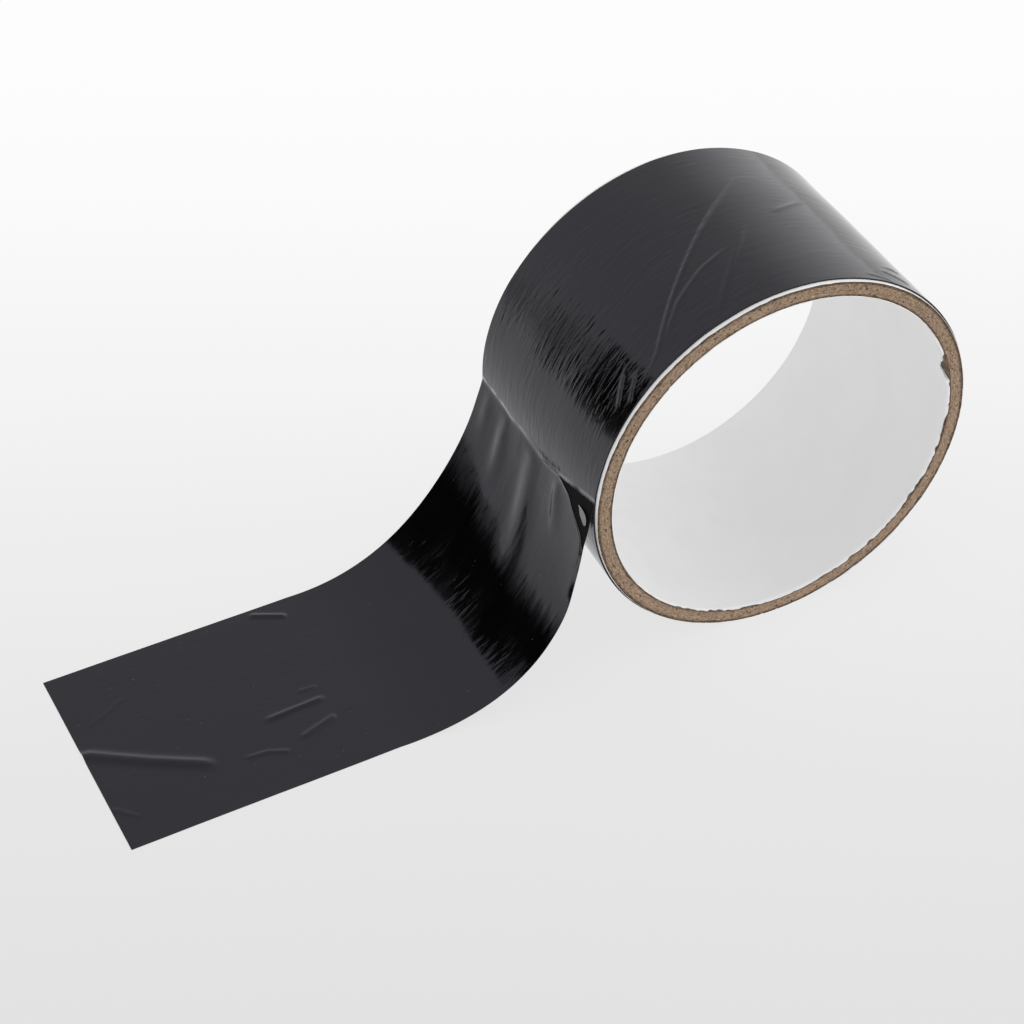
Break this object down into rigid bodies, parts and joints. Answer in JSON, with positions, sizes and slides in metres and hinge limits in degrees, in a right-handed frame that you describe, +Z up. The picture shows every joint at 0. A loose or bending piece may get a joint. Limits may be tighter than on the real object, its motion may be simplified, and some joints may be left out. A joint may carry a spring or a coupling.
{
  "type": "duct tape roll",
  "caption": "Nearly used up roll of black duct tape on a paper core, its free end peeled off and lying flat; the roll spins against the free end as tape pays out.",
  "frame": {"origin": "middle of the core's bore, on its axis", "axes": "+Z up, +Y along the core's axis away from the near end, and the free end of the tape lies towards -X; the roll's rim and the free end rest on the plane z = -0.0419"},
  "size_m": [0.1862, 0.0573, 0.0838],
  "materials": {
    "liner_paper": "matte",
    "kraft_board": "matte",
    "cover_paper": "matte",
    "adhesive": "tacky satin",
    "scrim": "woven",
    "backing": "satin to gloss film"
  },
  "bodies": {
    "free_strip": {"strip_adhesive": "adhesive", "strip_scrim": "scrim", "strip_backing": "backing"},
    "roll": {"core_liner": "liner_paper", "core_ply_1": "kraft_board", "core_ply_2": "kraft_board", "core_ply_3": "kraft_board", "core_ply_4": "kraft_board", "core_ply_5": "kraft_board", "core_ply_6": "kraft_board", "core_cover": "cover_paper", "wrap_1_adhesive": "adhesive", "wrap_1_scrim": "scrim", "wrap_1_backing": "backing", "wrap_2_adhesive": "adhesive", "wrap_2_scrim": "scrim", "wrap_2_backing": "backing"}
  },
  "joints": [
    {"name": "roll_spin", "type": "hinge", "parent": "free_strip", "child": "roll", "pos_m": [0, 0, 0], "axis": [0, -1, 0], "continuous": true}
  ]
}
